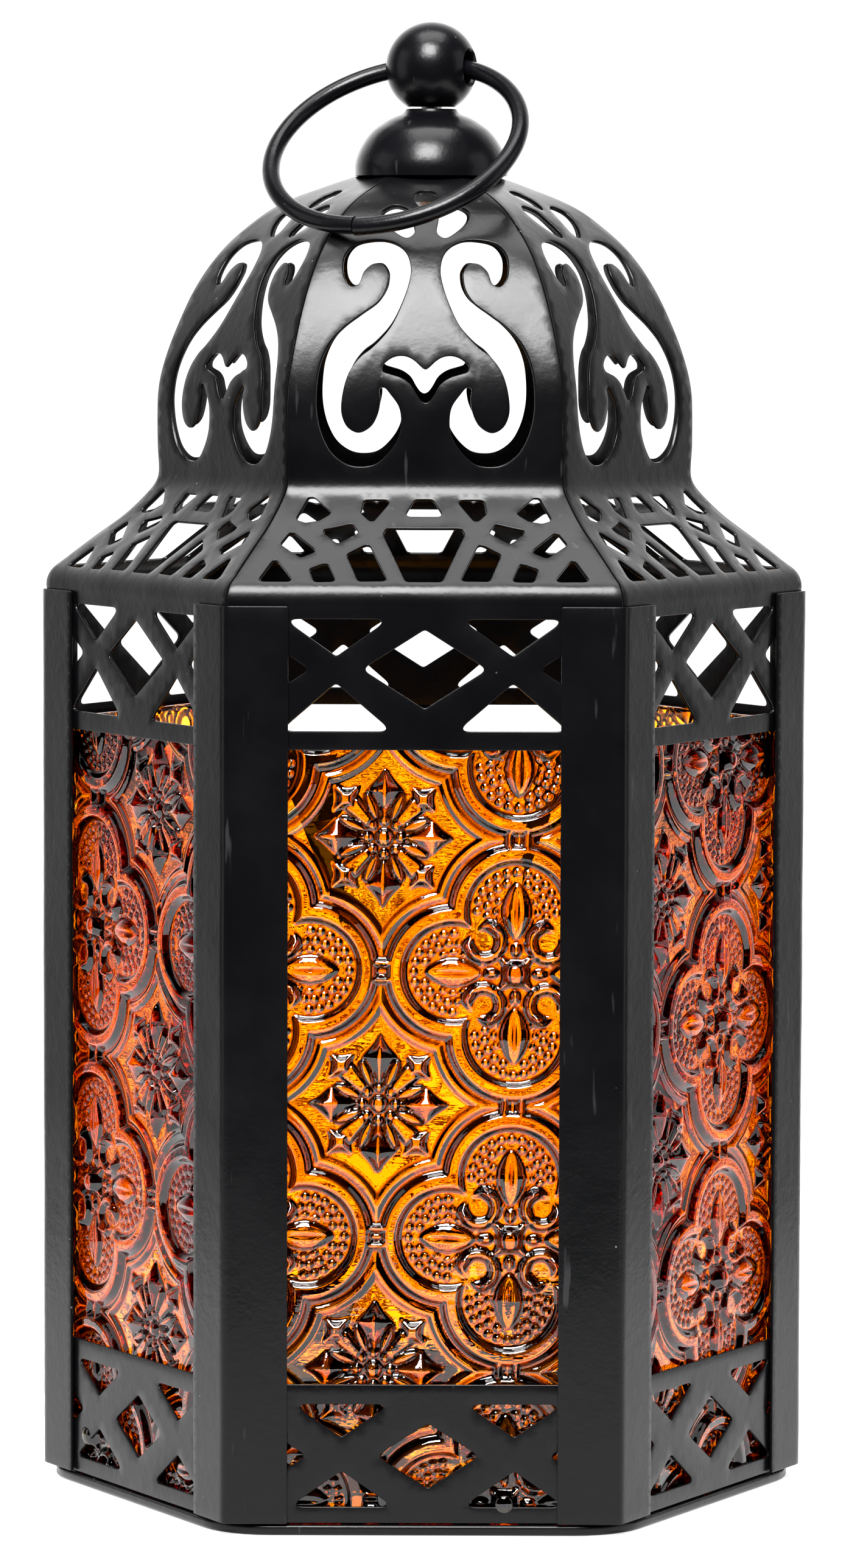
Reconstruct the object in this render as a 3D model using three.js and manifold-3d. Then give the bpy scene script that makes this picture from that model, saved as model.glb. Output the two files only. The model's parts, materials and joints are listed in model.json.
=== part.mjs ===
// Moroccan metal lantern: a hexagonal cage of angle posts and pierced sheet metal with amber glass
// panes, a pierced onion-shaped roof, a spun cap, a ball finial and a carrying ring.
// Millimetres, +Z up. The origin is the centre of the base, on the surface the lantern stands on.
// The front face looks along -Y and the glazed door is in the back face, towards +Y.
import * as THREE from 'three';
import { mergeVertices } from 'three/addons/utils/BufferGeometryUtils.js';
import Module from 'manifold-3d';

const wasm = await Module();
wasm.setup();

// ---- Driving dimensions -------------------------------------------------------------------------
const SIDES = 6;
const FACE_TURN = (2 * Math.PI) / SIDES;
const EDGE_SLOPE = Math.tan(FACE_TURN / 2); // half width of a face for each mm of apothem
const SHEET = 0.6; // gauge of the sheet metal
const STRIP = 0.5; // gauge of the clips and the snap tab
const GAP = 0.3; // clearance between neighbouring pieces

const POST_APOTHEM = 60.62; // outer plane of the corner posts, so 70 mm from axis to corner
const POST_FLANGE = 11.2;
const DOORWAY_FLANGE = 8.2; // the two posts beside the door are trimmed on the door side
const POST_BOTTOM = 2.2;
const POST_TOP = 163.9;
const PANEL_APOTHEM = POST_APOTHEM - SHEET - GAP - 0.02; // outer plane of the bands inside the posts

const TRAY_RIM = { radius: 69.6, height: 1.9 };
const TRAY_FLOOR = 1.2;

const PANE = { halfWidth: 27.5, bottom: 1.5, top: 140.5, outer: 58.5, thickness: 2.6 };
const RETAINER = { apothem: 55.2, height: 7 };
const CLIP = { bottom: 130, top: 138, finger: 3.3, foot: 4.2 };
const DOOR_STRIP = { bottom: 10, top: 122, foot: 2.6, finger: 2.8, hingeFinger: 8 };
const CUP = { radius: 20.5, wall: 0.8, height: 11.5 };

const GALLERY_BOTTOM = 138.8;
const CAP = { radius: 13.9, bottom: 239.2, shoulder: 242.2, neckRadius: 4.6, top: 251.35, wall: 0.8 };
const FINIAL_X = 1.0; // the finial sits a little off the axis, as hand assembly leaves it
const BALL = { radius: 8.3, height: 258.8, base: 251.7, eye: 3.0 };
const RING = { radius: 23.05, wire: 1.6, lift: 0.6, azimuth: -22, lean: 50.7 };
const SCREW = { radius: 1.9, bore: 2.3, head: 3.6, top: 254.0 };

const DOOR = { inner: 60.95, halfWidth: 29, bottom: 3, top: 133.4, stile: 8, rail: 7.4 };
const DOOR_PANE = { halfWidth: 23.4, bottom: 4, top: 128.3, outer: 60.6 };
const HINGE = { x: -30.3, y: 62.4, rod: 0.85, bore: 1.15, eye: 1.65, bottom: 3.4, top: 133.2, lug: 5, room: 0.4 };

// ---- Materials ----------------------------------------------------------------------------------
const standard = (color, roughness, metalness) => new THREE.MeshStandardMaterial({ color, roughness, metalness });
const blackSheet = () => standard(0x191a1c, 0.45, 0.3);
const blackCast = () => standard(0x161719, 0.4, 0.3);
const zincSteel = () => standard(0x8d8f92, 0.4, 0.9);
const amberGlass = () => standard(0xb4530f, 0.12, 0);

// ---- Solids -------------------------------------------------------------------------------------
function toSolid(geometry) {
  const bare = geometry.clone();
  bare.deleteAttribute('normal');
  bare.deleteAttribute('uv');
  const merged = mergeVertices(bare, 1e-4);
  const triVerts = new Uint32Array(merged.index.array);
  const mesh = new wasm.Mesh({ numProp: 3, vertProperties: merged.attributes.position.array, triVerts });
  return new wasm.Manifold(mesh);
}

function toGeometry(solid) {
  const mesh = solid.getMesh();
  const geometry = new THREE.BufferGeometry();
  geometry.setAttribute('position', new THREE.BufferAttribute(new Float32Array(mesh.vertProperties), 3));
  geometry.setIndex([...mesh.triVerts]);
  geometry.computeVertexNormals();
  return geometry;
}

const signedVolume = (geometry) => {
  const flat = geometry.index ? geometry.toNonIndexed() : geometry;
  const p = flat.attributes.position;
  const [a, b, c] = [new THREE.Vector3(), new THREE.Vector3(), new THREE.Vector3()];
  let sum = 0;
  for (let i = 0; i < p.count; i += 3) {
    a.fromBufferAttribute(p, i);
    b.fromBufferAttribute(p, i + 1);
    c.fromBufferAttribute(p, i + 2);
    sum += a.dot(b.cross(c)) / 6;
  }
  return sum;
};

// A solid of revolution about +Z. Points are [radius, height]; a sealed profile repeats its first
// point, and an open one starts and ends on the axis.
function turned(points, segments) {
  const profile = points.map(([r, z]) => new THREE.Vector2(r, z));
  let geometry = new THREE.LatheGeometry(profile, segments);
  if (signedVolume(geometry) < 0) {
    geometry = new THREE.LatheGeometry(profile.reverse(), segments);
  }
  return geometry.rotateX(Math.PI / 2);
}

// A hexagonal ring or pan: a six-sided turned solid given by [apothem, height], corners at 0, 60, ...
function hexTurned(points) {
  const corner = 1 / Math.cos(FACE_TURN / 2);
  return turned(points.map(([a, z]) => [a * corner, z]), SIDES).rotateZ(Math.PI / 2);
}

function block(x0, x1, y0, y1, z0, z1) {
  const box = new THREE.BoxGeometry(x1 - x0, y1 - y0, z1 - z0);
  return box.translate((x0 + x1) / 2, (y0 + y1) / 2, (z0 + z1) / 2);
}

function outline(points) {
  return new THREE.Shape(points.map(([x, y]) => new THREE.Vector2(x, y)));
}

function extrudeUp(shape, bottom, top, curveSegments = 4) {
  const depth = top - bottom;
  return new THREE.ExtrudeGeometry(shape, { depth, bevelEnabled: false, curveSegments }).translate(0, 0, bottom);
}

// ---- Outlines of the pierced work ---------------------------------------------------------------
// A polygon with its corners cut back to small chamfers, as a worn punch leaves them.
function roundedPolygon(points, radius) {
  const corners = points.map(([x, y]) => new THREE.Vector2(x, y));
  const out = [];
  corners.forEach((corner, i) => {
    const before = corners[(i + corners.length - 1) % corners.length];
    const after = corners[(i + 1) % corners.length];
    const back = before.clone().sub(corner);
    const ahead = after.clone().sub(corner);
    const cut = Math.min(radius, back.length() * 0.4, ahead.length() * 0.4);
    const start = corner.clone().addScaledVector(back.normalize(), cut);
    const end = corner.clone().addScaledVector(ahead.normalize(), cut);
    out.push(start, end);
  });
  return out;
}

// A smooth closed outline through the points.
function smoothOutline(points, divisions) {
  const anchors = points.map(([x, y]) => new THREE.Vector3(x, y, 0));
  const loop = new THREE.CatmullRomCurve3(anchors, true, 'centripetal');
  return loop.getPoints(divisions).slice(0, -1).map((p) => new THREE.Vector2(p.x, p.y));
}

const mirrored = (points) => points.map((p) => new THREE.Vector2(-p.x, p.y)).reverse();
const bothSides = (holes) => holes.flatMap((hole) => [hole, mirrored(hole)]);

// Lattice of crossing bars between two rails: a middle diamond, half diamonds at the ends and a
// triangle above and below each crossing.
function latticeHoles(lattice) {
  const { pitch, centre, height, diamond, rise, topEdge, topApex, bottomEdge, bottomApex, spread, end } = lattice;
  const crossing = pitch / 2;
  const foot = spread + 0.6;
  const half = diamond * rise;
  const top = [[crossing - spread, topEdge], [crossing + spread, topEdge], [crossing, topApex]];
  const bottom = [[crossing, bottomApex], [crossing + foot, bottomEdge], [crossing - foot, bottomEdge]];
  const middle = [[-diamond, height], [0, height + half], [diamond, height], [0, height - half]];
  const near = pitch - diamond;
  const reach = (end - near) * rise;
  const side = [[near, height], [end, height + reach], [end, height - reach]];
  const paired = [top, bottom, side].map((p) => roundedPolygon(p, 0.9));
  const holes = [roundedPolygon(middle, 0.9), ...bothSides(paired)];
  return holes.map((hole) => hole.map((p) => new THREE.Vector2(p.x + centre, p.y)));
}

const GALLERY_LATTICE = {
  pitch: 31, centre: 0, height: 14.1, diamond: 10.95, rise: 0.635, topEdge: 22.85, topApex: 16.35,
  bottomEdge: 3.3, bottomApex: 11.7, spread: 9.2, end: 31,
};
const BAND = { bottom: 2.2, top: 26.9 };
const BAND_LATTICE = {
  pitch: 30.4, centre: 1, height: 12, diamond: 9.05, rise: 0.64, topEdge: 21.2, topApex: 15.3,
  bottomEdge: 2.9, bottomApex: 9.3, spread: 8.65, end: 29.5,
};
const DOOR_LATTICE = {
  pitch: 23.6, centre: 0, height: 11.2, diamond: 7.2, rise: 0.7, topEdge: 20.4, topApex: 14.6,
  bottomEdge: 2.1, bottomApex: 8, spread: 6.4, end: 18.6,
};

// Interlaced work of the skirt, given for one half as [distance from the middle, arc length].
const SKIRT_HOLES = [
  [[5.6, 50], [10.6, 50], [11.1, 47], [9.6, 45.2], [8.8, 45.2]],
  [[19.4, 50.5], [20.4, 50.5], [22.6, 45.5], [20.8, 44.8], [18.4, 45.3], [16.1, 47.1]],
  [[17.6, 43.1], [17.6, 42.1], [15.1, 39.4], [11.4, 42.4], [12.6, 44.6], [15.1, 43.8]],
  [[23.3, 42.8], [25.2, 39.3], [21.6, 35.8], [18.7, 37.5]],
  [[13.6, 36.7], [11.5, 29.9], [6.3, 30], [9.7, 39.6]],
  [[20.1, 33], [19.2, 29.7], [15.3, 29.8], [16.9, 34.7]],
  [[26.1, 35.9], [29.1, 29.9], [22.7, 29.8]],
];
const SKIRT_MIDDLE_HOLES = [
  [[-1.6, 50.1], [1.6, 50.1], [3.5, 46.3], [-3.5, 46.3]],
  [[-6.6, 43.5], [6.6, 43.5], [7.2, 41.9], [3.2, 29.8], [-3.2, 29.8], [-7.2, 41.9]],
];
// S-shaped scroll of the dome petal, from the lower tip up its inner side and back.
const SCROLL = [
  [8.1, 69.9], [8.5, 65.3], [11.8, 62.1], [14.8, 65.3], [14.7, 69.1], [11.5, 75.7], [6.4, 80.9],
  [3, 89.5], [4.8, 97.6], [9.8, 98.9], [14.3, 95.5], [14.3, 90.3], [12, 89.1], [10.2, 92.8], [7.4, 93.3],
  [6.95, 88.5], [11.4, 83.5], [17, 78.1], [19.3, 68.5], [16.5, 58.3], [11.5, 56.1], [6.2, 58.9], [4.3, 64.9],
];
const LEAF = [[7.6, 106.7], [7.7, 104.5], [6.3, 101.8], [3.4, 99.4], [2.1, 100.5], [2.2, 103.5], [3, 107], [5.4, 108.5]];
const MOUSTACHE = [
  [0, 73.4], [1.7, 74.8], [4.3, 75.8], [7, 74.9], [7.7, 73.2], [4.6, 72], [2.5, 70.5], [0, 67.4],
  [-2.5, 70.5], [-4.6, 72], [-7.7, 73.2], [-7, 74.9], [-4.3, 75.8], [-1.7, 74.8],
];
const TEARDROP = [[0, 107.1], [2, 110.5], [1.7, 114.1], [-1.7, 114.1], [-2, 110.5]];

// ---- Roof panels --------------------------------------------------------------------------------
// Outer face of a roof panel as [apothem, height], from the gallery rail up over the skirt and the
// dome to the end under the cap.
const ROOF_PROFILE = [
  [PANEL_APOTHEM, GALLERY_BOTTOM], [PANEL_APOTHEM, 163.6], [60, 165.2], [58.8, 168],
  [47.3, 177.8], [42.2, 184.6], [42.5, 192], [42.3, 199.8], [40.5, 208], [36.8, 218], [31.4, 226.6],
  [24.6, 232.9], [16.4, 237.05], [8.2, 240],
];

const asPoints = (profile) => profile.map(([a, z]) => new THREE.Vector2(a, z));

function arcLengths(points) {
  const lengths = [0];
  for (let i = 1; i < points.length; i += 1) {
    lengths.push(lengths[i - 1] + points[i].distanceTo(points[i - 1]));
  }
  return lengths;
}

// Outward offsets at each station, mitred so that the sheet keeps its gauge round a bend.
function mitres(points) {
  const normals = points.slice(1).map((p, i) => {
    const along = p.clone().sub(points[i]).normalize();
    return new THREE.Vector2(along.y, -along.x);
  });
  return points.map((_, i) => {
    const before = normals[Math.max(i - 1, 0)];
    const after = normals[Math.min(i, normals.length - 1)];
    return before.clone().add(after).divideScalar(1 + before.dot(after));
  });
}

// Rounded to a ten-thousandth, so that two flats cut at one station meet at the same points.
const snapped = (value) => Math.round(value * 1e4) / 1e4;

// Bends a flat sheet, drawn as [distance from the middle, arc length], to the profile. The sheet is
// cut at each station, and each flat is moved to its place and joined to the one before.
function bentSheet(shape, profile) {
  const points = asPoints(profile);
  const lengths = arcLengths(points);
  const offsets = mitres(points);
  const flat = toSolid(extrudeUp(shape, -SHEET, 0));
  const pieces = points.slice(1).map((_, i) => {
    const slab = toSolid(block(-50, 50, lengths[i], lengths[i + 1], -2, 2));
    const { vertProperties, triVerts } = flat.intersect(slab).getMesh();
    for (let v = 0; v < vertProperties.length; v += 3) {
      const [x, s, depth] = vertProperties.slice(v, v + 3);
      const share = snapped((s - lengths[i]) / (lengths[i + 1] - lengths[i]));
      const surface = points[i].clone().lerp(points[i + 1], share);
      const place = surface.clone().addScaledVector(offsets[i].clone().lerp(offsets[i + 1], share), depth);
      vertProperties.set([snapped(x * (place.x / surface.x)), -snapped(place.x), snapped(place.y)], v);
    }
    return new wasm.Manifold(new wasm.Mesh({ numProp: 3, vertProperties, triVerts }));
  });
  return toGeometry(pieces.reduce((whole, piece) => whole.add(piece)));
}

function roofPanel() {
  const points = asPoints(ROOF_PROFILE);
  const lengths = arcLengths(points);
  const right = points.map((p, i) => [p.x * EDGE_SLOPE - GAP / 2, lengths[i]]);
  const left = right.map(([x, s]) => [-x, s]).reverse();
  const shape = outline([...right, ...left]);
  const holes = [
    ...latticeHoles(GALLERY_LATTICE),
    ...SKIRT_MIDDLE_HOLES.map((p) => roundedPolygon(p, 0.7)),
    ...bothSides(SKIRT_HOLES.map((p) => roundedPolygon(p, 0.7))),
    ...bothSides([smoothOutline(SCROLL, 34), smoothOutline(LEAF, 10)]),
    smoothOutline(MOUSTACHE, 18),
    roundedPolygon(TEARDROP, 1.2),
  ];
  shape.holes.push(...holes.map((hole) => new THREE.Path(hole)));
  return bentSheet(shape, ROOF_PROFILE);
}

// ---- Flat pierced bands -------------------------------------------------------------------------
// A pierced plate standing in the front face: outer face at the given apothem.
function piercedBand(halfWidth, bottom, top, lattice, apothem) {
  const height = top - bottom;
  const shape = outline([[-halfWidth, 0], [halfWidth, 0], [halfWidth, height], [-halfWidth, height]]);
  shape.holes.push(...latticeHoles(lattice).map((hole) => new THREE.Path(hole)));
  return extrudeUp(shape, -SHEET, 0).rotateX(Math.PI / 2).translate(0, -apothem, bottom);
}

// ---- Corner posts -------------------------------------------------------------------------------
// An angle strip at the corner on the +X axis, with its flanges along the two faces that meet there.
function cornerPost(flangeAhead, flangeBehind) {
  const corner = POST_APOTHEM / Math.cos(FACE_TURN / 2);
  const bend = 1.2;
  // Point on the outer face of a flange, at a distance from the corner.
  const leg = (length, side) => {
    const angle = side * (Math.PI / 2 + FACE_TURN / 2);
    return new THREE.Vector2(corner + length * Math.cos(angle), length * Math.sin(angle));
  };
  const inward = (point, side) => {
    const angle = side * (FACE_TURN / 2);
    return point.clone().sub(new THREE.Vector2(Math.cos(angle), Math.sin(angle)).multiplyScalar(SHEET));
  };
  const nose = new THREE.Vector2(corner - 0.3, 0);
  const outer = [leg(flangeBehind, -1), leg(bend, -1), nose, leg(bend, 1), leg(flangeAhead, 1)];
  const innerCorner = new THREE.Vector2(corner - SHEET / Math.cos(FACE_TURN / 2), 0);
  const inner = [inward(outer[4], 1), innerCorner, inward(outer[0], -1)];
  return extrudeUp(new THREE.Shape([...outer, ...inner]), POST_BOTTOM, POST_TOP);
}

// ---- Base ---------------------------------------------------------------------------------------
function baseTray() {
  const rim = TRAY_RIM.radius * Math.cos(FACE_TURN / 2);
  return hexTurned([
    [0, 0], [rim - 0.7, 0], [rim, 0.6], [rim, TRAY_RIM.height - 0.4], [rim - 0.5, TRAY_RIM.height],
    [rim - 1.1, TRAY_RIM.height], [rim - 1.4, TRAY_FLOOR], [0, TRAY_FLOOR],
  ]);
}

function paneRetainer() {
  const { apothem, height } = RETAINER;
  const foot = TRAY_FLOOR + GAP;
  return hexTurned([
    [apothem - 5, foot], [apothem, foot], [apothem, height], [apothem - SHEET, height],
    [apothem - SHEET, foot + SHEET], [apothem - 5, foot + SHEET], [apothem - 5, foot],
  ]);
}

function candleCup() {
  const { radius, wall, height } = CUP;
  const foot = TRAY_FLOOR + GAP;
  return turned([
    [0, foot], [radius - 1, foot], [radius, foot + 1], [radius, foot + height], [radius - wall, foot + height],
    [radius - wall, foot + 1.3], [radius - 1.3, foot + wall], [0, foot + wall],
  ], 32);
}

// ---- Glass --------------------------------------------------------------------------------------
function fixedPane() {
  const { halfWidth, bottom, top, outer, thickness } = PANE;
  return block(-halfWidth, halfWidth, -outer, -outer + thickness, bottom, top);
}

// A bent strip that holds the edge of a pane: a foot spot-welded to the metal, a riser beside the
// glass and a finger folded over the inner face. It lies on the +X side of the front face.
function paneClip(edge, metal, glassBack, { foot, finger, bottom, top }) {
  const riser = edge + GAP;
  const back = glassBack - GAP;
  const shape = outline([
    [riser, metal], [riser, back], [riser - finger, back], [riser - finger, back - STRIP],
    [riser + STRIP, back - STRIP], [riser + STRIP, metal - STRIP], [riser + foot, metal - STRIP],
    [riser + foot, metal],
  ].map(([x, a]) => [x, -a]));
  return extrudeUp(shape, bottom, top);
}

// ---- Crown --------------------------------------------------------------------------------------
function capShell() {
  const { radius, bottom, shoulder, neckRadius, top, wall } = CAP;
  const centre = 241.4;
  const rise = top - 0.6 - centre;
  const arc = (r, h, n) => Array.from({ length: n }, (_, i) => {
    const angle = (i / n) * Math.PI * 0.37 + 0.1;
    return [r * Math.cos(angle), centre + h * Math.sin(angle)];
  });
  const straight = shoulder - 0.4;
  const outer = [
    [radius, bottom], [radius, straight], ...arc(radius, rise, 6), [neckRadius + 0.6, top - 0.7], [neckRadius, top],
  ];
  const inner = [
    [SCREW.bore, top], [SCREW.bore, top - wall - 0.5], ...arc(radius - wall, rise - wall, 6).reverse(),
    [radius - wall, straight], [radius - wall, bottom],
  ];
  return turned([...outer, ...inner, [radius, bottom]], 32);
}

const washer = (outer, bore, bottom, top, segments) => turned(
  [[bore, bottom], [outer, bottom], [outer, top], [bore, top], [bore, bottom]], segments,
);

const rod = (radius, bottom, top, segments) => turned([[0, bottom], [radius, bottom], [radius, top], [0, top]], segments);

// The ball, with its height measured from its own centre: a flat foot, the screw's blind hole and
// the eye that the ring passes through.
function finialBall() {
  const { radius, height, base, eye } = BALL;
  const foot = base - height;
  const ball = toSolid(new THREE.SphereGeometry(radius, 24, 12).rotateX(Math.PI / 2));
  const below = toSolid(block(-20, 20, -20, 20, -20, foot));
  const blindHole = toSolid(rod(SCREW.bore, foot - 1, SCREW.top + 0.6 - height, 16));
  const eyeHole = toSolid(rod(eye, -20, 20, 20).rotateY(Math.PI / 2).rotateZ(THREE.MathUtils.degToRad(RING.azimuth)));
  return toGeometry(ball.subtract(below).subtract(blindHole).subtract(eyeHole)).translate(0, 0, height);
}

// Pan-head screw from inside the dome, up through the crown plate and the cap into the ball.
function finialScrew() {
  const under = 235.7;
  return turned([
    [0, under - 2.2], [SCREW.head - 0.9, under - 2.2], [SCREW.head, under - 1.2], [SCREW.head, under],
    [SCREW.radius, under], [SCREW.radius, SCREW.top], [0, SCREW.top],
  ], 20);
}

// The ring lies with its plane through the ball's eye, leaning over the front of the cap.
function carryRing() {
  const circle = Array.from({ length: 9 }, (_, i) => {
    const angle = (i / 8) * 2 * Math.PI;
    return [RING.radius + RING.wire * Math.cos(angle), RING.wire * Math.sin(angle)];
  });
  const lean = THREE.MathUtils.degToRad(RING.lean);
  return turned(circle, 40)
    .rotateX(Math.PI / 2)
    .translate(0, 0, RING.lift - RING.radius)
    .rotateX(-lean)
    .rotateZ(THREE.MathUtils.degToRad(RING.azimuth))
    .translate(0, 0, BALL.height);
}

// ---- Door ---------------------------------------------------------------------------------------
const DOOR_OUTER = DOOR.inner + SHEET;

function plateAcrossDoor(x0, x1, z0, z1) {
  return block(x0, x1, DOOR.inner, DOOR_OUTER, z0, z1);
}

// Circle round the hinge line, drawn in plan.
function hingeCircle(radius, sides) {
  return Array.from({ length: sides }, (_, i) => {
    const angle = ((i + 0.5) / sides) * 2 * Math.PI;
    return new THREE.Vector2(HINGE.x + radius * Math.cos(angle), HINGE.y + radius * Math.sin(angle));
  });
}

function hingeTube(radius, bottom, top) {
  const shape = new THREE.Shape(hingeCircle(radius, 16));
  shape.holes.push(new THREE.Path(hingeCircle(HINGE.bore, 16)));
  return toSolid(extrudeUp(shape, bottom, top));
}

// The hinge-side stile, rolled into a tube between the two lugs and cut back beside them.
function hingeStile() {
  const rolledBottom = HINGE.bottom + HINGE.lug + HINGE.room;
  const rolledTop = HINGE.top - HINGE.lug - HINGE.room;
  const cutBack = -DOOR.halfWidth + 1.2;
  const tube = hingeTube(HINGE.eye, rolledBottom, rolledTop);
  const sheet = toSolid(plateAcrossDoor(HINGE.x, DOOR.stile - DOOR.halfWidth, DOOR.bottom, DOOR.top));
  const lineBore = toSolid(extrudeUp(new THREE.Shape(hingeCircle(HINGE.bore, 16)), 0, POST_TOP));
  const lowerRoom = toSolid(block(-40, cutBack, 50, 70, 0, rolledBottom));
  const upperRoom = toSolid(block(-40, cutBack, 50, 70, rolledTop, POST_TOP));
  return toGeometry(tube.add(sheet).subtract(lineBore).subtract(lowerRoom).subtract(upperRoom));
}

function freeStile() {
  return plateAcrossDoor(DOOR.halfWidth - DOOR.stile, DOOR.halfWidth, DOOR.bottom, DOOR.top);
}

// A lug welded to the corner post: an eye round the hinge rod, and a foot on the post's flange.
function hingeLug(bottom) {
  const top = bottom + HINGE.lug;
  const foot = toSolid(block(HINGE.x - 3.6, HINGE.x, DOOR.inner, DOOR.inner + 0.7, bottom, top));
  const bore = toSolid(extrudeUp(new THREE.Shape(hingeCircle(HINGE.bore, 16)), bottom - 1, top + 1));
  return toGeometry(hingeTube(HINGE.eye, bottom, top).add(foot).subtract(bore));
}

// The hinge rod, with an upset head that rests on the upper lug.
function hingeRod() {
  const foot = HINGE.bottom - 0.5;
  const head = HINGE.top + GAP;
  return turned([
    [0, foot], [HINGE.rod, foot], [HINGE.rod, head], [HINGE.eye - 0.1, head],
    [HINGE.eye - 0.1, head + 0.7], [HINGE.rod, head + 1.3], [0, head + 1.3],
  ], 14).translate(HINGE.x, HINGE.y, 0);
}

// Spring strip on the door's top rail. It laps the outside of the gallery rail, a shallow crease
// clicks under that rail, and its end curls outwards as a finger pull.
function snapTab() {
  const face = DOOR_OUTER + GAP;
  const back = DOOR.inner;
  const line = [
    [face, DOOR.top - 6], [face, DOOR.top + 0.3], [back, DOOR.top + 1.6], [back, DOOR.top + 2.6],
    [back - 0.75, DOOR.top + 3.9], [back, DOOR.top + 5.2], [back, DOOR.top + 8.6], [back + 1.6, DOOR.top + 10.6],
  ];
  const other = line.map(([y, z]) => [y + STRIP, z]).reverse();
  const shape = outline([...line, ...other]);
  const width = 12.8;
  const strap = new THREE.ExtrudeGeometry(shape, { depth: width, bevelEnabled: false });
  return strap.applyMatrix4(new THREE.Matrix4().makeBasis(
    new THREE.Vector3(0, 1, 0), new THREE.Vector3(0, 0, 1), new THREE.Vector3(1, 0, 0),
  )).translate(-width / 2, 0, 0);
}

const RIVET = { x: 4, height: 130.2, shank: 0.8, hole: 1.1, head: 1.4 };

// Round holes for the two rivets, cut along Y through a geometry of the door.
function withRivetHoles(geometry) {
  const hole = (x) => toSolid(rod(RIVET.hole, -80, 0, 12).rotateX(Math.PI / 2).translate(x, 0, RIVET.height));
  return toGeometry(toSolid(geometry).subtract(hole(-RIVET.x)).subtract(hole(RIVET.x)));
}

function tabRivet(x) {
  const back = DOOR.inner - GAP;
  const front = DOOR_OUTER + GAP + STRIP + GAP;
  const profile = [
    [0, back - 0.4], [RIVET.head - 0.1, back - 0.4], [RIVET.head - 0.1, back], [RIVET.shank, back],
    [RIVET.shank, front], [RIVET.head, front], [RIVET.head * 0.8, front + 0.6], [0, front + 0.8],
  ];
  return turned(profile, 12).rotateX(-Math.PI / 2).translate(x, 0, RIVET.height);
}

function doorTopRail() {
  const inside = DOOR.halfWidth - DOOR.stile - GAP;
  return withRivetHoles(plateAcrossDoor(-inside, inside, DOOR.top - DOOR.rail, DOOR.top));
}

function doorBand() {
  const inside = DOOR.halfWidth - DOOR.stile - GAP;
  return piercedBand(inside, DOOR.bottom, BAND.top, DOOR_LATTICE, DOOR_OUTER).rotateZ(Math.PI);
}

function doorPane() {
  const { halfWidth, bottom, top, outer } = DOOR_PANE;
  return block(-halfWidth, halfWidth, outer - PANE.thickness, outer, bottom, top);
}

// Full-height strip that holds an edge of the door's glass. The one beside the hinge is wider.
function doorClip(finger) {
  const back = DOOR_PANE.outer - PANE.thickness;
  return paneClip(DOOR_PANE.halfWidth, DOOR.inner - GAP, back, { ...DOOR_STRIP, finger }).rotateZ(Math.PI);
}

// ---- Assembly -----------------------------------------------------------------------------------
const lantern = new THREE.Group();

function place(name, geometry, material, parent = lantern) {
  const mesh = new THREE.Mesh(geometry, material);
  mesh.name = name;
  parent.add(mesh);
  return mesh;
}

// The same piece on the other side of the middle plane, with its faces still turned outwards.
function mirroredGeometry(geometry) {
  const flat = geometry.index ? geometry.toNonIndexed() : geometry.clone();
  const p = flat.attributes.position.array;
  for (let i = 0; i < p.length; i += 9) {
    const [x, y, z] = p.slice(i, i + 3);
    p.set([-p[i + 3], p[i + 4], p[i + 5], -x, y, z], i);
    p[i + 6] *= -1;
  }
  flat.computeVertexNormals();
  return flat;
}

place('base_tray', baseTray(), blackSheet());
place('pane_retainer', paneRetainer(), blackSheet());
place('candle_cup', candleCup(), zincSteel());

const plainPost = cornerPost(POST_FLANGE, POST_FLANGE);
const doorPosts = { 1: cornerPost(DOORWAY_FLANGE, POST_FLANGE), 2: cornerPost(POST_FLANGE, DOORWAY_FLANGE) };
const roof = roofPanel();
for (let i = 0; i < SIDES; i += 1) {
  place(`corner_post_${i + 1}`, doorPosts[i] ?? plainPost, blackSheet()).rotation.z = i * FACE_TURN;
  place(`roof_panel_${i + 1}`, roof, blackSheet()).rotation.z = i * FACE_TURN;
}

// Faces 0 to 5 run round from the front; face 3 is the back, where the door is.
const bandHalfWidth = (PANEL_APOTHEM - SHEET) * EDGE_SLOPE - GAP / 2;
const band = piercedBand(bandHalfWidth, BAND.bottom, BAND.top, BAND_LATTICE, PANEL_APOTHEM);
const pane = fixedPane();
const clipMetal = POST_APOTHEM - SHEET - GAP;
const clip = paneClip(PANE.halfWidth, clipMetal, PANE.outer - PANE.thickness, CLIP);
const clipOpposite = mirroredGeometry(clip);
[0, 1, 2, 4, 5].forEach((face, i) => {
  const side = new THREE.Group();
  side.rotation.z = face * FACE_TURN;
  lantern.add(side);
  place(`lower_band_${i + 1}`, band, blackSheet(), side);
  place(`glass_pane_${i + 1}`, pane, amberGlass(), side);
  place(`pane_clip_${i + 1}_right`, clip, blackSheet(), side);
  place(`pane_clip_${i + 1}_left`, clipOpposite, blackSheet(), side);
});

const crown = new THREE.Group();
crown.position.x = FINIAL_X;
lantern.add(crown);
place('crown_plate', washer(10, SCREW.bore, 236.9, 237.7, 24), blackSheet(), crown);
place('crown_washer', washer(5, SCREW.bore, 236, 236.6, 20), zincSteel(), crown);
place('finial_screw', finialScrew(), zincSteel(), crown);
place('cap', capShell(), blackCast(), crown);
place('finial_ball', finialBall(), blackCast(), crown);
place('carry_ring', carryRing(), blackCast(), crown);

place('hinge_lug_lower', hingeLug(HINGE.bottom), blackSheet());
place('hinge_lug_upper', hingeLug(HINGE.top - HINGE.lug), blackSheet());
place('hinge_rod', hingeRod(), zincSteel());

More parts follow.
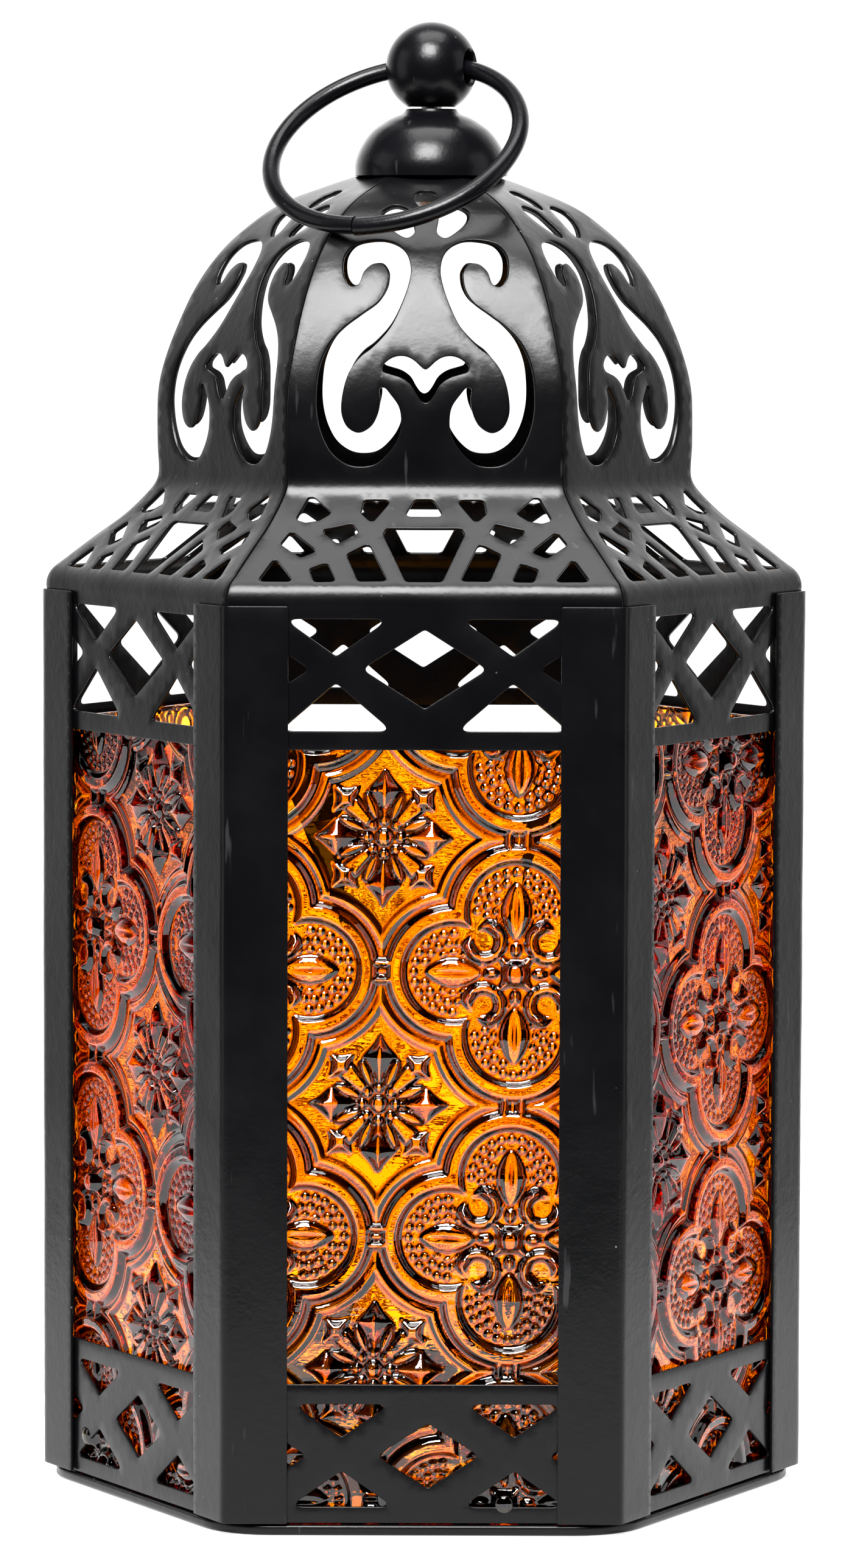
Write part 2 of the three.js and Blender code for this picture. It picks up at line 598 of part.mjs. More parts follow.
const door = new THREE.Group();
lantern.add(door);
place('door_stile_hinge_side', hingeStile(), blackSheet(), door);
place('door_stile_free_side', freeStile(), blackSheet(), door);
place('door_top_rail', doorTopRail(), blackSheet(), door);
place('door_lower_band', doorBand(), blackSheet(), door);
place('door_glass', doorPane(), amberGlass(), door);
place('door_clip_hinge_side', doorClip(DOOR_STRIP.hingeFinger), blackSheet(), door);
place('door_clip_free_side', mirroredGeometry(doorClip(DOOR_STRIP.finger)), blackSheet(), door);
place('door_snap_tab', withRivetHoles(snapTab()), blackSheet(), door);
place('door_rivet_left', tabRivet(-RIVET.x), zincSteel(), door);
place('door_rivet_right', tabRivet(RIVET.x), zincSteel(), door);

export default lantern;
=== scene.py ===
# Looks of the hexagonal metal lantern: stamped and bent black sheet, pressed amber glass, a spun cap,
# a ball finial and a wire ring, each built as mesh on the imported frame. Lengths below are millimetres
# in the lantern's own frame and become metres in finished().
import json
import math
import bpy
import numpy as np
from mathutils import Matrix, Vector, noise
from mathutils.geometry import delaunay_2d_cdt


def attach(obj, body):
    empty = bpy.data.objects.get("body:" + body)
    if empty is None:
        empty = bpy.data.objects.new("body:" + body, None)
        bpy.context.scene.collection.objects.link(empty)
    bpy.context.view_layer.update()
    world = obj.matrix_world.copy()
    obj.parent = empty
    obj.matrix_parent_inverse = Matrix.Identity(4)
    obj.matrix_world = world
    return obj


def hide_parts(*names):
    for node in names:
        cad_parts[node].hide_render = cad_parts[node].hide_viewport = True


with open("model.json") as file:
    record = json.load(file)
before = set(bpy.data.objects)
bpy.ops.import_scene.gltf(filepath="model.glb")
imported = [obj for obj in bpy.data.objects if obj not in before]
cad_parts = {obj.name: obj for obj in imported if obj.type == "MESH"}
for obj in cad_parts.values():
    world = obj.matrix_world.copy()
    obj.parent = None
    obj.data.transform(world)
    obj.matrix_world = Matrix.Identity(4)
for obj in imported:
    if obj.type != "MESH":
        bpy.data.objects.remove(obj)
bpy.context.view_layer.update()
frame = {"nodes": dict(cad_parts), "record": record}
MM = 0.001
DEG = math.pi / 180
SIDES = 6
SLOPE = math.tan(30 * DEG)  # half width of a face for each mm of apothem

# ---- Outlines, as arrays of points in the flat sheet --------------------------------------------


def densified(loop, step):
    """The closed loop with no edge longer than step."""
    loop = np.asarray(loop, float)
    out = []
    for a, b in zip(loop, np.roll(loop, -1, axis=0)):
        count = max(1, int(math.ceil(np.linalg.norm(b - a) / step)))
        out.extend(a + (b - a) * k / count for k in range(count))
    return np.array(out)


def rounded(points, radius, step=0.45):
    """A polygon with its corners rounded, as a punch cuts them."""
    points = np.asarray(points, float)
    out = []
    for before, at, after in zip(np.roll(points, 1, axis=0), points, np.roll(points, -1, axis=0)):
        back, ahead = before - at, after - at
        lb, la = np.linalg.norm(back), np.linalg.norm(ahead)
        back, ahead = back / lb, ahead / la
        half = math.acos(max(-1, min(1, float(back @ ahead)))) / 2
        cut = min(radius / math.tan(half), lb * 0.42, la * 0.42)
        start, end = at + back * cut, at + ahead * cut
        turn = math.pi - 2 * half
        count = max(3, int(turn / (18 * DEG)))
        for k in range(count + 1):
            u = k / count
            out.append((1 - u) ** 2 * start + 2 * u * (1 - u) * at + u * u * end)
    return densified(out, step)


def smooth_loop(points, step=0.4):
    """A closed centripetal spline through the points."""
    p = np.asarray(points, float)
    n = len(p)
    out = []
    for i in range(n):
        q = [p[(i + k - 1) % n] for k in range(4)]
        out.extend(spline_span(q, step))
    return np.array(out)


def between(first, last, start, end, x):
    """The value at x on the straight line from first at start to last at end."""
    return first * (end - x) / (end - start) + last * (x - start) / (end - start)


def spline_span(q, step):
    """Points of one centripetal Catmull-Rom span, from q[1] up to but not including q[2]."""
    t = [0.0]
    for k in range(3):
        t.append(t[-1] + math.sqrt(max(np.linalg.norm(q[k + 1] - q[k]), 1e-6)))
    count = max(2, int(np.linalg.norm(q[2] - q[1]) / step))
    out = []
    for k in range(count):
        x = t[1] + (t[2] - t[1]) * k / count
        a = [between(q[j], q[j + 1], t[j], t[j + 1], x) for j in range(3)]
        b = [between(a[j], a[j + 1], t[j], t[j + 2], x) for j in range(2)]
        out.append(between(b[0], b[1], t[1], t[2], x))
    return out


def open_spline(points, step):
    """An open centripetal spline through the points, ends included."""
    p = np.asarray(points, float)
    p = np.vstack([2 * p[0] - p[1], p, 2 * p[-1] - p[-2]])
    out = []
    for i in range(1, len(p) - 2):
        out.extend(spline_span(p[i - 1:i + 3], step))
    return np.vstack([out, p[-2]])


def mirrored(loop):
    return np.asarray(loop) * [-1, 1]


def both(loops):
    return [side for loop in loops for side in (np.asarray(loop), mirrored(loop))]


def area(loop):
    x, y = loop[:, 0], loop[:, 1]
    return 0.5 * float(np.sum(x * np.roll(y, -1) - np.roll(x, -1) * y))


def inset(loop, distance):
    """The loop moved to its left by distance."""
    along = np.roll(loop, -1, axis=0) - loop
    along /= np.maximum(np.linalg.norm(along, axis=1, keepdims=True), 1e-9)
    left = np.stack([-along[:, 1], along[:, 0]], axis=1)
    both_sides = left + np.roll(left, 1, axis=0)
    length = np.maximum(np.sum(both_sides ** 2, axis=1, keepdims=True), 1.0)
    return loop + both_sides * 2 * distance / length


def inside(points, loop):
    """Which points lie inside the closed loop."""
    a, b = loop, np.roll(loop, -1, axis=0)
    x, y = points[:, 0:1], points[:, 1:2]
    rising = (a[:, 1] > y) != (b[:, 1] > y)
    with np.errstate(divide="ignore", invalid="ignore"):
        cross = (b[:, 0] - a[:, 0]) * (y - a[:, 1]) / (b[:, 1] - a[:, 1]) + a[:, 0]
    return np.sum(rising & (x < cross), axis=1) % 2 == 1


# ---- Meshes -------------------------------------------------------------------------------------


def finished(name, verts, faces, material, body, replaces, sharp=50):
    """A piece from points in mm: its mesh, its material, the body it rides on and the node it stands for."""
    mesh = bpy.data.meshes.new(name)
    verts = np.asarray(verts, float) * MM
    if isinstance(faces, np.ndarray):
        k = faces.shape[1]
        mesh.vertices.add(len(verts))
        mesh.vertices.foreach_set("co", verts.ravel())
        mesh.loops.add(faces.size)
        mesh.loops.foreach_set("vertex_index", faces.ravel().astype(np.int32))
        mesh.polygons.add(len(faces))
        mesh.polygons.foreach_set("loop_start", np.arange(len(faces), dtype=np.int32) * k)
        mesh.update(calc_edges=True)
    else:
        mesh.from_pydata(verts.tolist(), [], faces)
    mesh.validate()
    mesh.shade_smooth()
    mesh.set_sharp_from_angle(angle=sharp * DEG)
    mesh.materials.append(material)
    obj = bpy.data.objects.new(name, mesh)
    bpy.context.scene.collection.objects.link(obj)
    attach(obj, body)
    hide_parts(replaces)
    return obj


EDGE = 0.14  # rounding of a stamped edge after painting


def plate(loops, mapping, gauge, grid, edge=EDGE, steiner=None):
    """Vertices and faces of a sheet cut to loops (the outline first, then its holes), mapped to its
    place by mapping(t, s, depth). Edges are rounded and the flats are meshed at the grid's pitch."""
    ways = [1 if (area(loop) > 0) == (i == 0) else -1 for i, loop in enumerate(loops)]
    oriented = [np.asarray(loop)[::way] for loop, way in zip(loops, ways)]
    steps = 3
    angles = [k * math.pi / 2 / steps for k in range(steps + 1)]
    arc = [(edge * (1 - math.sin(a)), edge * (1 - math.cos(a))) for a in angles]
    rings = arc + [(i, gauge - d) for i, d in reversed(arc)]
    flat = [inset(loop, edge) for loop in oriented]
    corners = np.vstack(flat)
    low, high = oriented[0].min(axis=0), oriented[0].max(axis=0)
    xs = np.arange(low[0] + grid / 2, high[0], grid)
    ys = np.arange(low[1] + grid / 2, high[1], grid) if steiner is None else steiner
    field = np.array([(x + (j % 2) * grid / 2, y) for j, y in enumerate(ys) for x in xs])
    keep = inside(field, flat[0])
    for loop in flat[1:]:
        keep &= ~inside(field, loop)
    field = field[keep]
    near = np.array([np.min(np.sum((corners - p) ** 2, axis=1)) for p in field])
    field = field[near > (grid * 0.45) ** 2]
    edges, start = [], 0
    for loop in flat:
        n = len(loop)
        edges.extend((start + k, start + (k + 1) % n) for k in range(n))
        start += n
    points = np.vstack([corners, field])
    out = delaunay_2d_cdt([Vector(p) for p in points], edges, [], 1, 1e-6)
    tri_points = np.array([tuple(v) for v in out[0]])
    middles = np.array([tri_points[list(f)].mean(axis=0) for f in out[2]])
    solid = inside(middles, flat[0])
    for loop in flat[1:]:
        solid &= ~inside(middles, loop)
    verts, faces = [], []
    count = len(tri_points)
    for depth in (0, gauge):
        verts.append(np.column_stack([tri_points, np.full(count, depth)]))
    for f in (f for f, kept in zip(out[2], solid) if kept):
        a, b, c = (tri_points[k] for k in f[:3])
        ccw = (b[0] - a[0]) * (c[1] - a[1]) - (b[1] - a[1]) * (c[0] - a[0]) > 0
        f = list(f) if ccw else list(f)[::-1]
        faces.append(f)
        faces.append([count + k for k in reversed(f)])
    at = {}
    for k, merged in enumerate(out[3]):
        for o in merged:
            at.setdefault(o, k)
    total, start = 2 * count, 0
    for loop in oriented:
        n = len(loop)
        rows = [[at[start + k] for k in range(n)]]
        for distance, depth in rings[1:-1]:
            ring = inset(loop, distance)
            verts.append(np.column_stack([ring, np.full(n, depth)]))
            rows.append(list(range(total, total + n)))
            total += n
        rows.append([count + k for k in rows[0]])
        for upper, lower in zip(rows, rows[1:]):
            for k in range(n):
                j = (k + 1) % n
                if upper[k] != upper[j]:
                    faces.append([upper[j], upper[k], lower[k], lower[j]])
        start += n
    flat_verts = np.vstack(verts)
    return mapping(flat_verts[:, 0], flat_verts[:, 1], flat_verts[:, 2]), faces


def turned(profile, segments, centre=(0.0, 0.0)):
    """A solid of revolution about a vertical axis from [radius, height] points, the ends on the axis
    or the profile closed on itself."""
    profile = np.asarray(profile, float)
    closed = np.allclose(profile[0], profile[-1])
    if closed:
        profile = profile[:-1]
    verts, rows = [], []
    for r, z in profile:
        if r < 1e-6:
            rows.append([len(verts)] * segments)
            verts.append((centre[0], centre[1], z))
        else:
            rows.append(list(range(len(verts), len(verts) + segments)))
            for k in range(segments):
                a = 2 * math.pi * k / segments
                verts.append((centre[0] + r * math.cos(a), centre[1] + r * math.sin(a), z))
    faces = []
    pairs = list(zip(rows, rows[1:])) + ([(rows[-1], rows[0])] if closed else [])
    for low, up in pairs:
        for k in range(segments):
            j = (k + 1) % segments
            f = [low[k], low[j], up[j], up[k]]
            f = [v for i, v in enumerate(f) if v not in f[:i]]
            if len(f) > 2:
                faces.append(f)
    return np.array(verts), faces


def rotated(verts, turns):
    """The points turned about +Z by so many sixths of a circle."""
    c, s = math.cos(turns * 60 * DEG), math.sin(turns * 60 * DEG)
    return np.asarray(verts) @ np.array([[c, s, 0], [-s, c, 0], [0, 0, 1]])


# ---- Materials ----------------------------------------------------------------------------------


class Nodes:
    """Adds shader nodes to a material in few words."""

    def __init__(self, name, slot):
        self.material = bpy.data.materials.new(name)
        self.material.use_nodes = True
        self.material["slot"] = slot
        self.tree = self.material.node_tree
        self.shader = self.tree.nodes["Principled BSDF"]
        self.coordinates = self.tree.nodes.new("ShaderNodeTexCoord").outputs["Object"]

    def add(self, kind, links=(), **values):
        node = self.tree.nodes.new(kind)
        for key, value in values.items():
            setattr(node, key, value)
        for socket, source in links:
            if hasattr(source, "is_output"):
                self.tree.links.new(source, node.inputs[socket])
            else:
                node.inputs[socket].default_value = source
        return node

    def noise(self, scale, detail=2, roughness=0.5, source=None):
        return self.add("ShaderNodeTexNoise", [("Vector", source or self.coordinates), ("Scale", scale),
                                               ("Detail", detail), ("Roughness", roughness)]).outputs["Fac"]

    def ramp(self, source, stops):
        node = self.add("ShaderNodeValToRGB", [("Fac", source)])
        while len(node.color_ramp.elements) < len(stops):
            node.color_ramp.elements.new(0.5)
        for element, (position, value) in zip(node.color_ramp.elements, stops):
            element.position = position
            element.color = (*value, 1) if isinstance(value, tuple) else (value, value, value, 1)
        return node.outputs["Color"]

    def maths(self, operation, a, b=0.0):
        return self.add("ShaderNodeMath", [(0, a), (1, b)], operation=operation).outputs[0]

    def mix(self, share, a, b):
        node = self.tree.nodes.new("ShaderNodeMix")
        node.data_type = "RGBA"
        for index, value in ((0, share), (6, a), (7, b)):
            if hasattr(value, "is_output"):
                self.tree.links.new(value, node.inputs[index])
            else:
                node.inputs[index].default_value = value
        return node.outputs[2]

    def bump(self, height, distance):
        links = [("Height", height), ("Distance", distance), ("Strength", 1.0)]
        return self.add("ShaderNodeBump", links).outputs["Normal"]

    def put(self, **sockets):
        for key, value in sockets.items():
            socket = self.shader.inputs[key.replace("_", " ")]
            if hasattr(value, "is_output"):
                self.tree.links.new(value, socket)
            else:
                socket.default_value = value


def black_paint(name, slot, tone, gloss, grain):
    """Satin black powder coat: faint orange peel, slightly uneven gloss, dust and small rubbed marks."""
    n = Nodes(name, slot)
    cloud = n.noise(90, 3)
    peel = n.noise(1500, 2)
    flow = n.noise(420, 1)
    cells = n.add("ShaderNodeTexVoronoi", [("Vector", n.coordinates), ("Scale", 260.0), ("Randomness", 1.0)])
    speck = n.ramp(cells.outputs["Distance"], [(0.0, 1.0), (0.035, 1.0), (0.05, 0.0)])
    sparse = n.noise(70, 1)
    dust = n.maths("MULTIPLY", speck, n.ramp(sparse, [(0.56, 0.0), (0.62, 1.0)]))
    stretched = n.add("ShaderNodeMapping", [("Vector", n.coordinates), ("Scale", (1.0, 1.0, 0.12)),
                                            ("Rotation", (0.3, 0.5, 0.2))]).outputs["Vector"]
    rub = n.ramp(n.noise(500, 2, source=stretched), [(0.70, 0.0), (0.76, 1.0)])
    darker, lighter = (*[c * 0.82 for c in tone], 1), (*[c * 1.15 for c in tone], 1)
    paint = n.mix(n.ramp(cloud, [(0.3, 0.0), (0.7, 1.0)]), darker, lighter)
    dusty = n.mix(n.maths("MULTIPLY", dust, 0.55), paint, (0.16, 0.16, 0.165, 1))
    worn = n.mix(n.maths("MULTIPLY", rub, 0.10), dusty, (0.12, 0.12, 0.125, 1))
    spread = n.add("ShaderNodeMapRange", [("Value", cloud), ("From Min", 0.25), ("From Max", 0.75),
                                          ("To Min", gloss - 0.035), ("To Max", gloss + 0.05)])
    rough = spread.outputs["Result"]
    height = n.maths("ADD", n.maths("MULTIPLY", peel, grain), n.maths("MULTIPLY", flow, 1.4))
    height = n.maths("ADD", height, n.maths("MULTIPLY", dust, 1.2))
    n.put(Base_Color=worn, Roughness=rough, Normal=n.bump(height, 0.000022))
    n.put(Specular_IOR_Level=0.15, IOR=1.5)
    return n.material


def zinc_plate():
    n = Nodes("zinc_plated_steel", "zinc_steel")
    cloud = n.noise(160, 3)
    grain = n.noise(1400, 2)
    colour = n.ramp(cloud, [(0.3, (0.40, 0.40, 0.41)), (0.7, (0.58, 0.58, 0.57))])
    rough = n.ramp(grain, [(0.3, 0.26), (0.7, 0.42)])
    n.put(Base_Color=colour, Roughness=rough, Metallic=1.0, Normal=n.bump(grain, 0.00001))
    return n.material


def amber():
    """Pressed amber glass, coloured right through, with drawn streaks and small seeds on its faces, and
    painted shade that darkens its colour on the relief's slopes and in its hollows.
    """
    n = Nodes("amber_pressed_glass", "amber_glass")
    stretched = n.add("ShaderNodeMapping", [("Vector", n.coordinates),
                                            ("Scale", (1.0, 1.0, 5.0))]).outputs["Vector"]
    streak = n.noise(120, 3, source=stretched)
    pebble = n.noise(520, 2)
    mottle = n.ramp(n.noise(60, 3), [(0.3, (1.0, 0.78, 0.36)), (0.7, (1.0, 1.0, 0.62))])
    relief = n.add("ShaderNodeAttribute", attribute_name="relief").outputs["Fac"]
    # Painted shade: the colour runs from pale yellow on the flats to near black on steep slopes and in
    # hollows, read from the 'relief' attribute, in place of refraction shade; it is then multiplied by the
    # random mottle.
    depth = n.ramp(relief, [(0.0, (1.0, 1.0, 0.8)), (0.12, (1.0, 0.9, 0.5)), (0.28, (0.8, 0.30, 0.08)),
                            (0.42, (0.12, 0.025, 0.012)), (0.7, (0.012, 0.004, 0.004))])
    tone = n.add("ShaderNodeVectorMath", [(0, mottle), (1, depth)], operation="MULTIPLY").outputs[0]
    rough = n.ramp(pebble, [(0.35, 0.0), (0.75, 0.04)])
    height = n.maths("ADD", streak, n.maths("MULTIPLY", pebble, 0.3))
    n.put(Base_Color=tone, Roughness=rough, Normal=n.bump(height, 0.00006))
    n.put(Transmission_Weight=1.0, IOR=1.5, Specular_IOR_Level=0.2)
    body = n.tree.nodes.new("ShaderNodeVolumeAbsorption")
    body.inputs["Color"].default_value = (0.998, 0.80, 0.02, 1)
    body.inputs["Density"].default_value = 1100.0
    n.tree.links.new(body.outputs[0], n.tree.nodes["Material Output"].inputs["Volume"])
    return n.material


BLACK_SHEET = black_paint("satin_black_sheet", "black_sheet", (0.0014, 0.0014, 0.0017), 0.26, 0.8)
BLACK_CAST = black_paint("satin_black_turned", "black_cast", (0.0016, 0.0016, 0.0021), 0.25, 1.1)
ZINC = zinc_plate()
AMBER = amber()

# ---- Roof panels --------------------------------------------------------------------------------
GAUGE = 0.6
GAP = 0.3
RAIL = 138.8  # bottom edge of the gallery
DATUM = 138.3  # where arc lengths on the roof are counted from
SKIRT_SHIFT = -0.2  # the skirt's openings are punched a little off centre

# Outer face of a roof panel, [apothem, height], from the gallery over the skirt to under the cap.
ROOF_PROFILE = [
    (59.7, 138.3), (59.7, 150), (59.7, 161.2), (59.74, 163.2), (59.95, 164.5), (59.8, 165.9), (59.05, 167.5),
    (56.8, 169.55), (52.4, 173.4), (47.3, 177.8), (43.9, 181.6), (42.75, 183.3), (42.25, 184.9),
    (42.4, 190.4), (42.4, 196), (42.25, 199.8), (41.75, 203.2), (40.5, 208), (38.7, 213.2), (36.75, 218),
    (34.3, 222.6),
    (31.4, 226.6), (28.15, 229.9), (24.6, 232.9), (20.4, 235.3), (16.4, 237.05), (12.1, 238.75), (8.2, 240),
]

SKIRT_HOLES = [
    [(5.6, 50.5), (10.6, 50.5), (11.1, 47.5), (9.6, 45.7), (8.8, 45.7)],
    [(19.4, 51), (20.4, 51), (22.6, 46), (20.8, 45.3), (18.4, 45.8), (16.1, 47.6)],
    [(17.6, 43.6), (17.6, 42.6), (15.1, 39.9), (11.4, 42.9), (12.6, 45.1), (15.1, 44.3)],
    [(23.3, 43.3), (25.2, 39.8), (21.6, 36.3), (18.7, 38)],
    [(13.6, 37.2), (11.5, 30.4), (6.3, 30.5), (9.7, 40.1)],
    [(20.1, 33.5), (19.2, 30.2), (15.3, 30.3), (16.9, 35.2)],
    [(26.1, 36.4), (29.1, 30.4), (22.7, 30.3)],
]
SKIRT_MIDDLE_HOLES = [
    [(-1.6, 50.6), (1.6, 50.6), (3.5, 46.8), (-3.5, 46.8)],
    [(-6.6, 44), (6.6, 44), (7.2, 42.4), (3.2, 30.3), (-3.2, 30.3), (-7.2, 42.4)],
]
SCROLL = [
    (8.1, 70.5), (8, 68.3), (8.5, 65.8), (9.7, 63.7), (11.8, 62.6), (13.7, 63.5), (14.8, 65.8), (14.7, 69.3),
    (13.5, 73.4), (11.5, 76.2), (9.4, 77.9), (6.4, 81.4), (4.3, 85.8), (3, 90), (2.65, 92.8), (3.3, 96.1),
    (4.8, 98.1), (7.2, 99.3), (9.8, 99.3), (12.7, 98.3), (14.3, 96), (14.7, 93.5), (14.3, 90.8), (13.1, 89.4),
    (11.9, 89.9), (10.9, 92.5), (9.3, 94), (7.7, 94), (6.7, 92.4), (6.6, 91.4), (6.95, 89), (8.3, 86.5),
    (11.4, 84), (14.4, 81.6), (17, 78.6), (18.7, 74.7), (19.35, 70.5), (19.3, 65.9), (18.3, 61.9),
    (16.5, 58.8), (13.9, 57), (11.5, 56.6), (8.8, 57.1), (6.2, 59.4), (4.6, 62.2), (4.3, 64.9), (4.7, 67.2),
    (6.2, 69.4), (7.3, 70.6),
]
LEAF = [(7.6, 107.2), (7.7, 105), (6.3, 102.3), (3.4, 99.9), (2.1, 101), (2.2, 104), (3, 107.5), (5.4, 109)]
MOUSTACHE = [
    (0, 73.9), (0.9, 74.5), (1.7, 75.3), (2.9, 76.1), (4.3, 76.4), (5.8, 76.1), (7, 75.3), (7.75, 74.4),
    (7.5, 73.5), (6.2, 73), (4.6, 72.5), (3.5, 71.9), (2.5, 71), (1.6, 69.4), (0.7, 68.2), (0, 67.9),
    (-0.7, 68.2), (-1.6, 69.4), (-2.5, 71), (-3.5, 71.9), (-4.6, 72.5), (-6.2, 73), (-7.5, 73.5),
    (-7.75, 74.4), (-7, 75.3),
    (-5.8, 76.1), (-4.3, 76.4), (-2.9, 76.1), (-1.7, 75.3), (-0.9, 74.5),
]
TEARDROP = [
    (0, 107.6), (1.2, 108.7), (2, 111), (1.9, 113.4), (0.9, 114.9), (-0.9, 114.9), (-1.9, 113.4), (-2, 111),
    (-1.2, 108.7),
]

PROFILE = open_spline(ROOF_PROFILE, 0.2)
ARC = np.concatenate([[0], np.cumsum(np.linalg.norm(np.diff(PROFILE, axis=0), axis=1))])
TANGENT = np.gradient(PROFILE, axis=0)
TANGENT /= np.linalg.norm(TANGENT, axis=1, keepdims=True)
NORMAL = np.stack([TANGENT[:, 1], -TANGENT[:, 0]], axis=1)


def wobble(x, y, z, size, amount, seed):
    """Smooth small unevenness of a hand-worked sheet, in mm."""
    return np.array([
        amount * noise.noise(Vector((a / size + seed, b / size, c / size + 7.3 * seed)))
        for a, b, c in zip(np.broadcast_to(x, np.shape(y)), y, np.broadcast_to(z, np.shape(y)))
    ])


def on_roof(turns):
    def mapping(t, s, depth):
        a, z = np.interp(s, ARC, PROFILE[:, 0]), np.interp(s, ARC, PROFILE[:, 1])
        na, nz = np.interp(s, ARC, NORMAL[:, 0]), np.interp(s, ARC, NORMAL[:, 1])
        depth = depth - wobble(t, s, turns * 31.7, 13, 0.09, turns)
        out = a - depth * na
        x = t * out / a
        return rotated(np.column_stack([x, -out, z - depth * nz]), turns)
    return mapping


def lattice(pitch, centre, height, diamond, rise, top_edge, top_apex, bottom_edge, bottom_apex, spread, end,
            radius=0.9):
    """Holes between crossing bars: a middle diamond, a half diamond at each end and a triangle above
    and below each crossing."""
    cross, foot, half, near = pitch / 2, spread + 0.6, diamond * rise, pitch - diamond
    reach = (end - near) * rise
    top = [(cross - spread, top_edge), (cross + spread, top_edge), (cross, top_apex)]
    bottom = [(cross, bottom_apex), (cross + foot, bottom_edge), (cross - foot, bottom_edge)]
    middle = [(-diamond, height), (0, height + half), (diamond, height), (0, height - half)]
    side = [(near, height), (end, height + reach), (end, height - reach)]
    loops = [rounded(middle, radius)] + both([rounded(p, radius) for p in (top, bottom, side)])
    return [loop + [centre, 0] for loop in loops]


def roof_loops():
    """The flat outline of a roof panel, then its holes."""
    foot, end = RAIL - DATUM, float(ARC[-1])
    s = np.append(np.arange(foot, end, 0.7), end)
    width = np.interp(s, ARC, PROFILE[:, 0]) * SLOPE - GAP / 2
    outline = np.vstack([np.column_stack([width, s]), np.column_stack([-width, s])[::-1]])
    gallery = lattice(pitch=31, centre=0, height=14.1, diamond=10.95, rise=0.635, top_edge=22.85,
                      top_apex=16.35, bottom_edge=3.3, bottom_apex=11.7, spread=9.2, end=31)
    skirt = [rounded(p, 0.85) for p in SKIRT_MIDDLE_HOLES] + both([rounded(p, 0.85) for p in SKIRT_HOLES])
    scrolls = both([smooth_loop(SCROLL), smooth_loop(LEAF)])
    return [densified(outline, 0.8), *(loop + [0, foot] for loop in gallery),
            *(loop + [SKIRT_SHIFT, 0] for loop in skirt), *scrolls,
            smooth_loop(MOUSTACHE), smooth_loop(TEARDROP)]


def roof_panels():
    loops = roof_loops()
    bends = np.concatenate([np.arange(0.6, 22, 2.2), np.arange(22.3, 33, 0.5), np.arange(33.5, 48, 1.6),
                            np.arange(48.3, 57, 0.55), np.arange(57.5, ARC[-1] - 0.5, 1.5)])
    for i in range(SIDES):
        verts, faces = plate(loops, on_roof(i), GAUGE, 1.7, steiner=bends)
        finished(f"roof_petal_{i + 1}", verts, faces, BLACK_SHEET, "lantern", f"roof_panel_{i + 1}", sharp=40)


# ---- Corner posts, bands and base ---------------------------------------------------------------
POST_APOTHEM = 60.62
POST_FLANGE = 11.2
DOORWAY_FLANGE = 8.2  # the two posts beside the door are trimmed on the door side
POST_BOTTOM, POST_TOP = 2.2, 163.9
BAND_BOTTOM, BAND_HEIGHT = 2.2, 24.7
PANEL_APOTHEM = 59.7  # outer plane of the bands inside the posts
TRAY_RADIUS = 69.6


def on_corner(turns):
    """The mapping in which t runs round the fold of a corner post and s is the height, and how much
    shorter than a sharp corner each flange's flat length is."""
    bend = 1.5  # outer radius of the fold
    corner = POST_APOTHEM / math.cos(30 * DEG)
    reach = bend * math.tan(30 * DEG)
    arc = bend * 60 * DEG / 2

    def mapping(t, s, depth):
        side = np.sign(t)
        far = np.abs(t)
        angle = np.minimum(far, arc) / arc * 30 * DEG
        straight = np.maximum(far - arc, 0)
        cx = corner - bend / math.cos(30 * DEG)
        depth = depth - wobble(t, s, turns * 17.1, 22, 0.12, turns + 9)
        r = bend - depth
        x = cx + r * np.cos(angle) - straight * math.sin(30 * DEG)
        y = r * np.sin(angle) + straight * math.cos(30 * DEG)
        return rotated(np.column_stack([x, y * side, s]), turns)
    return mapping, arc - reach


def corner_posts():
    for i in range(SIDES):
        mapping, shortfall = on_corner(i)
        ahead = (DOORWAY_FLANGE if i == 1 else POST_FLANGE) + shortfall
        behind = (DOORWAY_FLANGE if i == 2 else POST_FLANGE) + shortfall
        corners = [(-behind, POST_BOTTOM), (ahead, POST_BOTTOM), (ahead, POST_TOP), (-behind, POST_TOP)]
        outline = rounded(corners, 0.35, 1.0)
        verts, faces = plate([outline], mapping, GAUGE, 0.8, edge=0.12, steiner=np.arange(4, 163, 2.5))
        name, stands_for = f"angle_post_{i + 1}", f"corner_post_{i + 1}"
        finished(name, verts, faces, BLACK_SHEET, "lantern", stands_for, sharp=40)


def on_face(turns, apothem, bottom, seed=0):
    def mapping(t, s, depth):
        depth = depth - wobble(t, s, turns * 5.7, 16, 0.06, turns + seed)
        return rotated(np.column_stack([t, depth - apothem, s + bottom]), turns)
    return mapping


def lower_bands():
    half = (PANEL_APOTHEM - GAUGE) * SLOPE - GAP / 2
    outline = densified([(-half, 0), (half, 0), (half, BAND_HEIGHT), (-half, BAND_HEIGHT)], 0.9)
    for i, face in enumerate((0, 1, 2, 4, 5)):
        loops = [outline] + lattice(
            pitch=30.4, centre=1, height=12, diamond=9.05, rise=0.64, top_edge=21.2, top_apex=15.3,
            bottom_edge=2.9, bottom_apex=9.3, spread=8.65, end=29.5)
        verts, faces = plate(loops, on_face(face, PANEL_APOTHEM, BAND_BOTTOM, 3), GAUGE, 2.0)
        finished(f"foot_band_{i + 1}", verts, faces, BLACK_SHEET, "lantern", f"lower_band_{i + 1}", sharp=40)


